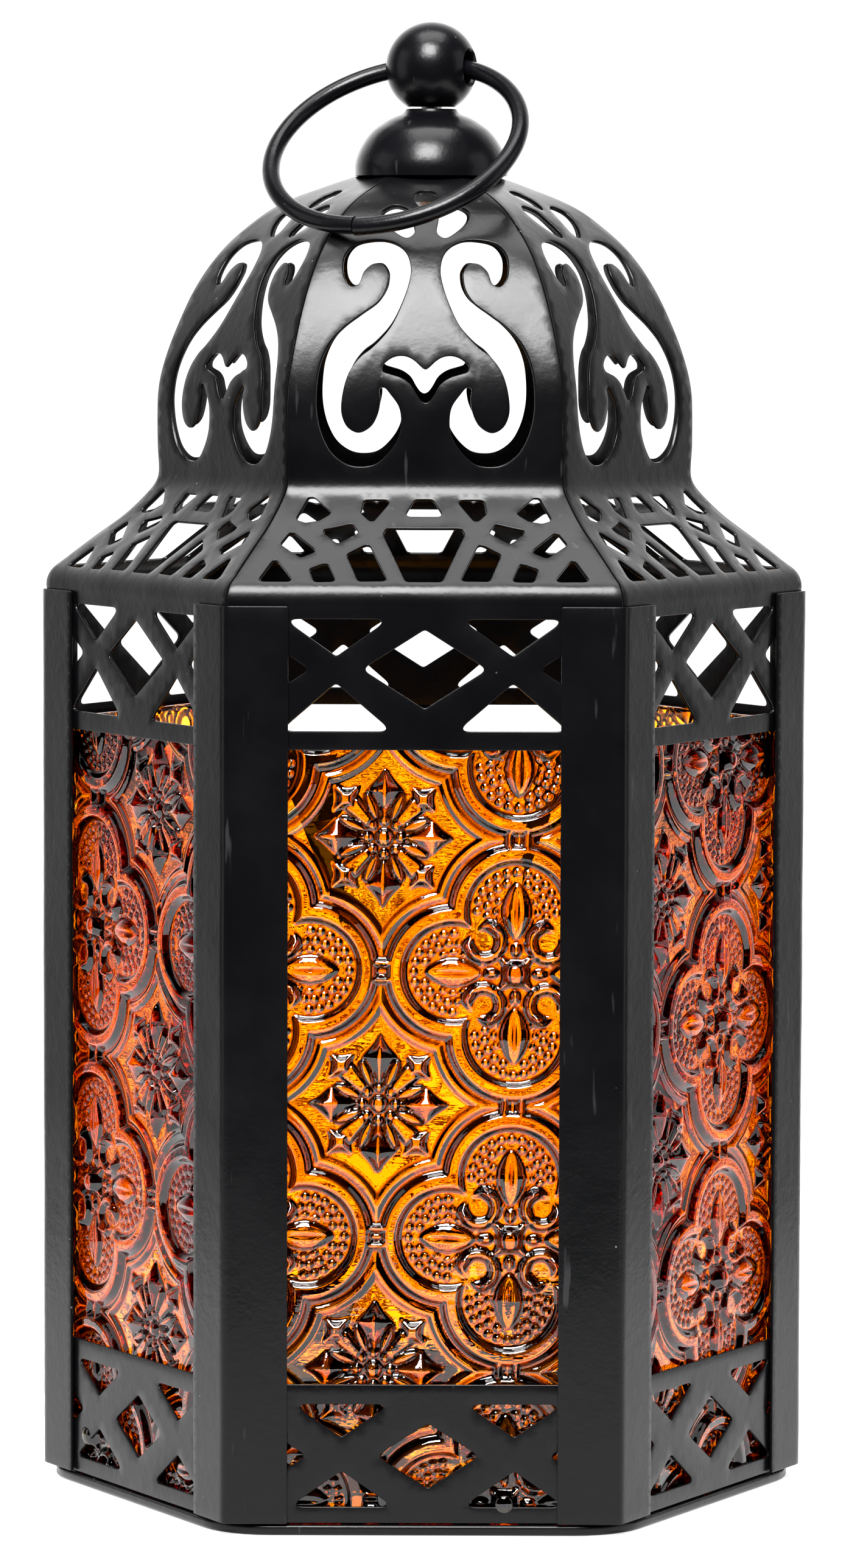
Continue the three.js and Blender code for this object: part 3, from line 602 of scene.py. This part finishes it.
def hexagon(apothem, radius, height, steps=6):
    """Points round a hexagon with rounded corners, at one height. Corners lie at 0, 60, ... degrees."""
    points = []
    for k in range(SIDES):
        a = k * 60 * DEG
        centre = (apothem - radius) / math.cos(30 * DEG)
        for j in range(steps + 1):
            b = a + (-30 + 60 * j / steps) * DEG
            points.append((centre * math.cos(a) + radius * math.cos(b),
                           centre * math.sin(a) + radius * math.sin(b), height))
        nxt = (k + 1) * 60 * DEG
        b = a + 30 * DEG
        start = np.array(points[-1][:2])
        end = np.array([centre * math.cos(nxt) + radius * math.cos(b),
                        centre * math.sin(nxt) + radius * math.sin(b)])
        for j in range(1, 12):
            p = start + (end - start) * j / 12
            points.append((p[0], p[1], height))
    return points


def hexagonal(profile, corner):
    """A six-sided body from [apothem, height] points, its corners rounded to the radius called corner."""
    rows, verts, faces = [], [], []
    for a, z in profile:
        if a < 1e-6:
            rows.append([len(verts)])
            verts.append((0, 0, z))
            continue
        ring = hexagon(a, max(0.15, corner - (profile[0][0] - a) * 0.2), z)
        rows.append(list(range(len(verts), len(verts) + len(ring))))
        verts.extend(ring)
    for low, up in zip(rows, rows[1:]):
        n = max(len(low), len(up))
        for k in range(n):
            j = (k + 1) % n
            f = [low[k % len(low)], low[j % len(low)], up[j % len(up)], up[k % len(up)]]
            f = [v for i, v in enumerate(f) if v not in f[:i]]
            if len(f) > 2:
                faces.append(f)
    return np.array(verts), faces


def base():
    rim = TRAY_RADIUS * math.cos(30 * DEG)
    profile = [(0, 0), (20, 0), (40, 0), (rim - 0.9, 0), (rim - 0.45, 0.08), (rim - 0.12, 0.3), (rim, 0.65),
               (rim, 1.45), (rim - 0.06, 1.68), (rim - 0.25, 1.85), (rim - 0.5, 1.9), (rim - 0.95, 1.9),
               (rim - 1.15, 1.8), (rim - 1.3, 1.5), (rim - 1.5, 1.24), (rim - 2, 1.2), (40, 1.2),
               (20, 1.2), (0, 1.2)]
    verts, faces = hexagonal(profile, 1.4)
    finished("base_pan", verts, faces, BLACK_SHEET, "lantern", "base_tray", sharp=40)


# ---- Pressed glass ------------------------------------------------------------------------------
# Half width, heights and the distances of the two faces from the lantern's axis.
PANE = {"half": 27.5, "bottom": 1.6, "top": 140.4, "outer": 58.5, "back": 55.95}
DOOR_PANE = {"half": 23.4, "bottom": 4.1, "top": 128.2, "outer": 60.2, "back": 58.05}
PITCH = 47.0  # of the square repeat of the pressed pattern
PATTERN_TURN = 1.0 * DEG
GLASS_MESH = 0.32  # pitch of the mesh on a patterned face


def bell(x, centre, half):
    """A smooth rounded ridge of the given half width."""
    u = np.clip(np.abs(x - centre) / half, 0, 1)
    return 0.5 + 0.5 * np.cos(math.pi * u)


def step(x, at, soft):
    u = np.clip((x - at) / soft + 0.5, 0, 1)
    return u * u * (3 - 2 * u)


def quatrefoil(x, y):
    """Relief of the four-lobed motif about its centre, in mm."""
    fold_x, fold_y = np.maximum(np.abs(x), np.abs(y)), np.minimum(np.abs(x), np.abs(y))
    lobe, size = 10.9, 11.7
    distance = np.hypot(fold_x - lobe, fold_y) - size  # the motif's edge is at 0
    height = 1.3 * (step(-distance, 0.2, 1.5) - step(-distance, 2.9, 1.2)) + 0.55 * bell(distance, 1.9, 1.2)
    height -= 0.2 * bell(distance, -3.9, 0.6)
    ring = np.hypot(fold_x - lobe, fold_y)
    row = ring / 1.75
    around = np.arctan2(fold_y, fold_x - lobe)
    count = np.maximum(np.round(2 * math.pi * np.round(row) * 0.95), 1)
    across = (row - np.round(row)) * 1.75
    turn = around * count / (2 * math.pi)
    along = (turn - np.round(turn)) * 2 * math.pi * np.maximum(ring, 0.5) / count
    dots = np.sqrt(np.clip(1 - (across ** 2 + along ** 2) / 0.68 ** 2, 0, 1))
    within = step(-distance, 3.9, 0.3) * (ring > 3.4)
    clear = (np.abs((fold_x - 11.0) / 5.6) ** 1.7 + np.abs(fold_y / 3.1) ** 1.35) > 1
    curl = np.hypot(fold_x - 5.6, fold_y - 5.6)
    height += 0.46 * dots * within * clear * (fold_x > 5.4) * (curl > 4.2)
    almond = 1 - (np.abs((fold_x - 11.0) / 5.0) ** 1.7 + np.abs(fold_y / 2.5) ** 1.35)
    height += 1.35 * np.clip(almond, 0, 1) ** 0.55 - 0.5 * np.clip(almond, 0, 1) * bell(fold_y, 0, 0.8)
    height -= 0.35 * bell(almond, -0.16, 0.25)
    opening = (fold_x - 5.6) + (fold_y - 5.6)
    height += 1.15 * bell(curl, 3.0, 1.35) * step(-opening, -2.9, 1.6)
    height += 0.8 * bell(np.hypot(fold_x - 7.9, fold_y - 4.0), 0, 1.2)
    height += 0.95 * bell(fold_x, 4.1, 2.3) * bell(fold_y, 0, 1.1)
    centre = np.hypot(x, y)
    height += 1.3 * np.sqrt(np.clip(1 - (centre / 1.9) ** 2, 0, 1)) - 0.35 * bell(centre, 2.5, 0.7)
    return height, distance


def rosette(x, y):
    """Relief of the flower of kites, pillows and leaves about its centre, in mm."""
    centre = np.hypot(x, y)
    angle = np.arctan2(y, x)
    height = np.zeros_like(x)
    for k in range(8):
        a = k * 45 * DEG
        along, across = x * math.cos(a) + y * math.sin(a), np.abs(-x * math.sin(a) + y * math.cos(a))
        if k % 2 == 0:  # a pointed kite with hollow outer sides, ridged along its middle
            outer_share = np.clip((12.4 - along) / 4.0, 0, 1) ** 1.5
            width = np.where(along < 8.4, (along - 3.6) / 4.8, outer_share) * 3.2
            body = np.clip(1 - across / np.maximum(width, 0.01), 0, 1) * (along > 3.6) * (along < 12.4)
            height = np.maximum(height, 1.8 * body ** 0.9 * (0.5 + 0.5 * bell(along, 8.6, 5)))
        else:  # a small pillow with hollow sides at the end of a stem
            u, v = np.abs(x - 9.5 * math.cos(a)), np.abs(y - 9.5 * math.sin(a))
            side = 1.75 + 0.13 * np.clip(np.minimum(u, v), 0, 2) ** 2
            pillow = np.clip((side - np.maximum(u, v)) / 1.1, 0, 1)
            stem = step(0.35 + 0.13 * along - across, 0, 0.5)
            stem = stem * step(along, 3.6, 0.6) * step(8.4 - along, 0, 0.8)
            height = np.maximum(height, np.maximum(1.35 * pillow, 0.85 * stem))
        a += 22.5 * DEG  # a thin leaf between them
        along, across = x * math.cos(a) + y * math.sin(a), np.abs(-x * math.sin(a) + y * math.cos(a))
        leaf = np.sin(math.pi * np.clip((along - 3.3) / 5.2, 0, 1)) ** 0.7
        blade = np.sqrt(np.clip(1 - (across / (0.95 * leaf + 0.01)) ** 2, 0, 1))
        height = np.maximum(height, blade * (leaf > 0.02))
    bead = np.hypot(centre - 2.9, 2.9 * np.angle(np.exp(1j * angle * 8)) / 8)
    height = np.maximum(height, 0.8 * np.sqrt(np.clip(1 - (bead / 0.85) ** 2, 0, 1)))
    return np.maximum(height, 1.2 * np.sqrt(np.clip(1 - (centre / 1.5) ** 2, 0, 1)))


def relief(x, z):
    """Relief of the pressed face at a point of the front pane, in mm above the ground."""
    c, s = math.cos(PATTERN_TURN), math.sin(PATTERN_TURN)
    u, v = (x - 16.1) * c - (z - 99.5) * s, (x - 16.1) * s + (z - 99.5) * c
    # Each motif sits on the square lattice; the flowers are at the middles of its cells.
    qu, qv = u - PITCH * np.round(u / PITCH), v - PITCH * np.round(v / PITCH)
    fu, fv = u - PITCH * (np.floor(u / PITCH) + 0.5), v - PITCH * (np.floor(v / PITCH) + 0.5)
    height, distance = quatrefoil(qu, qv)
    flower = rosette(fu, fv)
    height = height + flower * step(distance, 1.6, 0.6)
    edge_x, edge_y = np.maximum(np.abs(qu), np.abs(qv)), np.minimum(np.abs(qu), np.abs(qv))
    bar = step(edge_x, 21.6, 0.5) * (bell(edge_y, 1.5, 0.95) + bell(edge_y, 0, 0.7) * 0.4)
    height = np.maximum(height, 1.15 * bar)
    return height


def glass_face(name, replaced, turns, half, bottom, top, outer, back, body, shift):
    """A pane whose outer face carries the relief; the ground lies at the pane's outer plane."""
    nx, nz = int(2 * half / GLASS_MESH) + 1, int((top - bottom) / GLASS_MESH) + 1
    gx, gz = np.meshgrid(np.linspace(-half, half, nx), np.linspace(bottom, top, nz))
    border = np.minimum(np.minimum(half - np.abs(gx), gz - bottom), top - gz)
    height = relief(gx + shift[0], gz + shift[1]) * step(border, 0.35, 0.6)
    rng = np.random.default_rng(11 + turns)
    swell = sum(0.07 * np.sin(gx * rng.uniform(0.08, 0.3) + rng.uniform(0, 6))
                * np.sin(gz * rng.uniform(0.1, 0.3) + rng.uniform(0, 6)) for _ in range(4))
    # Painted shade: a value that darkens the glass's colour on the relief's slopes and in its hollows, and
    # less on its crests, standing in for the dark bands that refraction gives there.
    slope_z, slope_x = np.gradient(height, gz[1, 0] - gz[0, 0], gx[0, 1] - gx[0, 0])
    bend = np.gradient(slope_z, axis=0) + np.gradient(slope_x, axis=1)
    hollow, crest = np.clip(bend, 0, 1), np.clip(-bend, 0, 1)
    painted_refraction_shade = np.clip(0.62 * np.hypot(slope_x, slope_z) + 0.5 * hollow - 0.35 * crest, 0, 1)
    surface = (height + swell * step(border, 1, 1)) * 0.85 - 0.55
    front = np.column_stack([gx.ravel(), -(outer + surface.ravel()), gz.ravel()])
    index = np.arange(nx * nz).reshape(nz, nx)
    faces = np.column_stack([index[:-1, :-1].ravel(), index[:-1, 1:].ravel(), index[1:, 1:].ravel(),
                             index[1:, :-1].ravel()])
    edge = np.concatenate([index[0, :-1], index[:-1, -1], index[-1, :0:-1], index[:0:-1, 0]])
    chamfer = 0.25
    rim = front[edge]
    rows, verts, total = [edge], [front], len(front)
    for depth, at in ((-outer + 0.75, rim[:, (0, 2)]), (-back - chamfer, rim[:, (0, 2)]),
                      (-back, np.column_stack([np.clip(rim[:, 0], -half + chamfer, half - chamfer),
                                               np.clip(rim[:, 2], bottom + chamfer, top - chamfer)]))):
        verts.append(np.column_stack([at[:, 0], np.full(len(edge), depth), at[:, 1]]))
        rows.append(np.arange(total, total + len(edge)))
        total += len(edge)
    for upper, lower in zip(rows, rows[1:]):
        faces = np.vstack([faces, np.column_stack([np.roll(upper, -1), upper, lower, np.roll(lower, -1)])])
    verts.append(np.array([[0, -back, (bottom + top) / 2]]))
    last = rows[-1]
    quads = faces.tolist() + [[int(np.roll(last, -1)[k]), int(last[k]), total] for k in range(len(last))]
    verts = np.vstack(verts)
    pane = finished(name, rotated(verts, turns), quads, AMBER, body, replaced, sharp=60)
    # The painted refraction shade is stored on the patterned face's points in the point attribute 'relief';
    # the sides and back get none.
    tone = np.zeros(len(verts), np.float32)
    tone[:nx * nz] = painted_refraction_shade.ravel()
    pane.data.attributes.new("relief", "FLOAT", "POINT").data.foreach_set("value", tone)


def panes():
    """Every pane shows another part of the same pattern."""
    shifts = {0: (0, 0), 1: (9, 12), 2: (-14, 31), 4: (20, 5), 5: (-13, -3)}
    for i, face in enumerate((0, 1, 2, 4, 5)):
        glass_face(f"pressed_pane_{i + 1}", f"glass_pane_{i + 1}", face, **PANE, body="lantern",
                   shift=shifts[face])
    glass_face("pressed_door_pane", "door_glass", 3, **DOOR_PANE, body="door", shift=(4, 17))


# ---- Cap, ball and ring -------------------------------------------------------------------------
FINIAL_X = 1.0
BALL_HEIGHT, BALL_RADIUS = 258.8, 8.3
RING_RADIUS, RING_WIRE, RING_LIFT = 23.05, 1.6, 0.6
RING_AZIMUTH, RING_LEAN = -22 * DEG, 50.7 * DEG


def eased(verts, amount, size, seed):
    """Points moved a little in and out along their own radius, as spun metal is never quite round."""
    moved = []
    for x, y, z in verts:
        k = 1 + amount * noise.noise(Vector((x / size + seed, y / size, z / size)))
        moved.append(((x - FINIAL_X) * k + FINIAL_X, y * k, z))
    return moved


def cap():
    outer = open_spline([(13.9, 239.25), (13.9, 241.2), (13.55, 242.7), (12.96, 244.1), (12.15, 245.5),
                         (11.2, 246.75), (10.2, 247.75), (9.06, 248.55), (7.8, 249.35), (6.57, 249.95),
                         (5.5, 250.35), (4.9, 250.75), (4.62, 251.3)], 0.35)
    inner = open_spline([(2.3, 251.35), (2.3, 250.3), (6, 249.1), (9, 247.6), (11.4, 245.2), (12.8, 243),
                         (13.1, 239.25)], 1.2)
    lip = [(13.35, 239.2), (13.6, 239.16), (13.82, 239.2)]
    profile = np.vstack([outer, [(4.4, 251.35)], inner, lip, outer[:1]])
    verts, faces = turned(profile, 120, (FINIAL_X, 0))
    finished("spun_cap", eased(verts, 0.006, 9, 3), faces, BLACK_CAST, "lantern", "cap", sharp=38)


def ball():
    """A turned ball on a short neck, with the eye drilled through it and its edge broken."""
    eye, rim, count = 3.0, 0.45, 72
    foot = 251.72 - BALL_HEIGHT
    levels = np.radians(np.concatenate([np.linspace(-58.5, -40, 8), np.linspace(-37, 90, 44)]))
    profile = [(0, foot), (3.9, foot)]
    profile += [(BALL_RADIUS * math.cos(a), BALL_RADIUS * math.sin(a)) for a in levels[:-1]]
    profile.append((0, BALL_RADIUS))
    verts, faces = turned(profile, 96)
    mesh = bpy.data.meshes.new("ball_blank")
    mesh.from_pydata((np.asarray(verts) * MM).tolist(), [], faces)
    blank = bpy.data.objects.new("ball_blank", mesh)
    flare = [(0, -20), (eye + 1.6, -20), (eye + 1.6, -BALL_RADIUS)]
    half = math.sqrt(BALL_RADIUS ** 2 - eye ** 2)
    flare += [(eye + rim * 1.6, -half - 0.02), (eye + rim, -half + 0.28), (eye + rim * 0.35, -half + 0.7),
              (eye, -half + 1.4)]
    drill = flare + [(r, -z) for r, z in reversed(flare)]
    dv, df = turned(drill, count)
    dv = np.asarray(dv)[:, [2, 1, 0]] * [1, -1, 1]
    c, s = math.cos(RING_AZIMUTH), math.sin(RING_AZIMUTH)
    dv = dv @ np.array([[c, s, 0], [-s, c, 0], [0, 0, 1]])
    cutter_mesh = bpy.data.meshes.new("drill")
    cutter_mesh.from_pydata((dv * MM).tolist(), [], df)
    cutter = bpy.data.objects.new("drill", cutter_mesh)
    for obj in (blank, cutter):
        bpy.context.scene.collection.objects.link(obj)
    cut = blank.modifiers.new("eye", "BOOLEAN")
    cut.operation, cut.object, cut.solver = "DIFFERENCE", cutter, "EXACT"
    bpy.context.view_layer.update()
    result = bpy.data.meshes.new_from_object(blank.evaluated_get(bpy.context.evaluated_depsgraph_get()))
    points = np.array([v.co[:] for v in result.vertices]) / MM + [FINIAL_X, 0, BALL_HEIGHT]
    polygons = [list(p.vertices) for p in result.polygons]
    for obj in (blank, cutter):
        bpy.data.objects.remove(obj)
    finished("turned_ball", points, polygons, BLACK_CAST, "lantern", "finial_ball", sharp=32)


def ring():
    """Round wire bent to a ring; its two ends meet at the bottom with a small gap and a step."""
    gap, steps, around = 0.011, 200, 28
    start = -91 * DEG + gap / 2
    sweep = 2 * math.pi - gap
    rows, verts, faces = [], [], []

    def station(angle, wire, radius, lift):
        rows.append(list(range(len(verts), len(verts) + around)))
        for k in range(around):
            b = 2 * math.pi * k / around
            r = radius + wire * math.cos(b)
            verts.append((r * math.cos(angle), lift + wire * math.sin(b), r * math.sin(angle)))

    for u in (0.25, 0.62, 0.88):
        station(start - 0.006 * (1 - u), RING_WIRE * u, RING_RADIUS + 0.10, 0.08)
    for k in range(steps + 1):
        share = k / steps
        angle = start + sweep * share
        skew = 0.10 * math.exp(-share * 40) - 0.10 * math.exp(-(1 - share) * 40)
        wave = 0.10 * noise.noise(Vector((math.cos(angle) * 1.2, math.sin(angle) * 1.2, 4.2)))
        fade = 1 - math.exp(-share * (1 - share) * 60)
        station(angle, RING_WIRE, RING_RADIUS + skew + wave * fade, 0.8 * skew)
    for u in (0.88, 0.62, 0.25):
        station(start + sweep + 0.006 * (1 - u), RING_WIRE * u, RING_RADIUS - 0.10, -0.08)
    for low, up in zip(rows, rows[1:]):
        for k in range(around):
            j = (k + 1) % around
            faces.append([low[k], low[j], up[j], up[k]])
    faces.append(rows[0][::-1])
    faces.append(rows[-1])
    place = (Matrix.Translation((FINIAL_X, 0, BALL_HEIGHT)) @ Matrix.Rotation(RING_AZIMUTH, 4, "Z")
             @ Matrix.Rotation(-RING_LEAN, 4, "X") @ Matrix.Translation((0, 0, RING_LIFT - RING_RADIUS)))
    placed = [tuple(place @ Vector(v)) for v in verts]
    finished("wire_ring", placed, faces, BLACK_CAST, "ring", "carry_ring", sharp=45)


# ---- Floor, light and camera --------------------------------------------------------------------


def plain_floor():
    mesh = bpy.data.meshes.new("floor")
    half = 0.32
    corners = [(-half, -half, 0), (half, -half, 0), (half, half, 0), (-half, half, 0)]
    mesh.from_pydata(corners, [], [(0, 1, 2, 3)])
    material = bpy.data.materials.new("pale_floor")
    material.use_nodes = True
    shader = material.node_tree.nodes["Principled BSDF"]
    shader.inputs["Base Color"].default_value = (0.45, 0.45, 0.45, 1)
    shader.inputs["Roughness"].default_value = 0.9
    shader.inputs["Emission Color"].default_value = (1, 1, 1, 1)
    shader.inputs["Emission Strength"].default_value = 0.8
    mesh.materials.append(material)
    floor = bpy.data.objects.new("floor", mesh)
    bpy.context.scene.collection.objects.link(floor)


def soft_light(name, place, aim, width, height, watts):
    light = bpy.data.lights.new(name, "AREA")
    light.shape = "RECTANGLE"
    light.size, light.size_y = width, height
    light.energy = watts
    obj = bpy.data.objects.new(name, light)
    obj.location = place
    obj.rotation_euler = (Vector(aim) - Vector(place)).to_track_quat("-Z", "Y").to_euler()
    obj.visible_camera = False
    bpy.context.scene.collection.objects.link(obj)


def studio():
    """A white room that is dim behind the camera, with soft boxes above and at both sides."""
    world = bpy.data.worlds.new("studio")
    bpy.context.scene.world = world
    world.use_nodes = True
    tree = world.node_tree
    tree.nodes.clear()
    output = tree.nodes.new("ShaderNodeOutputWorld")
    coordinates = tree.nodes.new("ShaderNodeTexCoord")
    split = tree.nodes.new("ShaderNodeSeparateXYZ")
    tree.links.new(coordinates.outputs["Generated"], split.inputs[0])
    ramp = tree.nodes.new("ShaderNodeMapRange")
    ramp.interpolation_type = "SMOOTHSTEP"
    for key, value in (("From Min", 0.3), ("From Max", 1.0), ("To Min", 0.0), ("To Max", 2.6)):
        ramp.inputs[key].default_value = value
    tree.links.new(split.outputs["Y"], ramp.inputs["Value"])
    room = tree.nodes.new("ShaderNodeBackground")
    room.inputs["Color"].default_value = (1, 1, 1, 1)
    tree.links.new(ramp.outputs["Result"], room.inputs["Strength"])
    backdrop = tree.nodes.new("ShaderNodeBackground")
    backdrop.inputs["Color"].default_value = (1, 1, 1, 1)
    backdrop.inputs["Strength"].default_value = 1.15
    seen = tree.nodes.new("ShaderNodeLightPath")
    mixer = tree.nodes.new("ShaderNodeMixShader")
    tree.links.new(seen.outputs["Is Camera Ray"], mixer.inputs[0])
    tree.links.new(room.outputs[0], mixer.inputs[1])
    tree.links.new(backdrop.outputs[0], mixer.inputs[2])
    tree.links.new(mixer.outputs[0], output.inputs["Surface"])
    soft_light("top_box", (-0.08, -0.70, 0.95), (0, 0, 0.2), 0.5, 0.5, 52.0)
    soft_light("high_box", (0.0, -0.05, 1.2), (0, 0, 0.1), 0.8, 0.5, 13.0)
    soft_light("left_box", (-0.9, -0.15, 0.35), (0, 0, 0.12), 0.5, 0.9, 2.0)
    soft_light("right_box", (0.9, -0.15, 0.35), (0, 0, 0.12), 0.5, 0.9, 2.0)
    bpy.context.scene.view_settings.view_transform = "Standard"


def long_lens_camera():
    """A long lens just above the middle of the lantern, looking slightly down at it."""
    distance, height = 1.2175, 0.2247
    pitch, roll, bearing = 5.01 * DEG, 0.189 * DEG, 0.130 * DEG
    ahead = Vector((0, math.cos(pitch), -math.sin(pitch)))
    up = Vector((0, math.sin(pitch), math.cos(pitch)))
    side = Vector((1, 0, 0))
    right = side * math.cos(roll) + up * math.sin(roll)
    top = up * math.cos(roll) - side * math.sin(roll)
    turn = Matrix.Rotation(-bearing, 4, "Z")
    pose = Matrix((right, top, -ahead)).transposed().to_4x4()
    pose.translation = (0, -distance, height)
    data = bpy.data.cameras.new("camera")
    data.sensor_fit = "VERTICAL"
    data.sensor_height = 36
    data.lens = 152.8
    data.shift_x, data.shift_y = -0.00155, 0.0354
    data.clip_start, data.clip_end = 0.05, 20
    camera = bpy.data.objects.new("camera", data)
    bpy.context.scene.collection.objects.link(camera)
    camera.matrix_world = turn @ pose
    bpy.context.scene.camera = camera


long_lens_camera()
roof_panels()
corner_posts()
lower_bands()
base()
panes()
cap()
ball()
ring()
plain_floor()
studio()

PAINTS = {"black_sheet": BLACK_SHEET, "black_cast": BLACK_CAST, "zinc_steel": ZINC, "amber_glass": AMBER}
SLOT_OF = {part["node"]: part["material_slot"] for part in frame["record"]["subparts"]}
for name, obj in frame["nodes"].items():
    obj.data.materials.clear()
    obj.data.materials.append(PAINTS[SLOT_OF[name]])
    if not obj.hide_render:
        bevel = obj.modifiers.new("broken_edges", "BEVEL")
        bevel.width, bevel.segments, bevel.limit_method, bevel.angle_limit = 0.12 * MM, 2, "ANGLE", 40 * DEG
        bevel.harden_normals = False
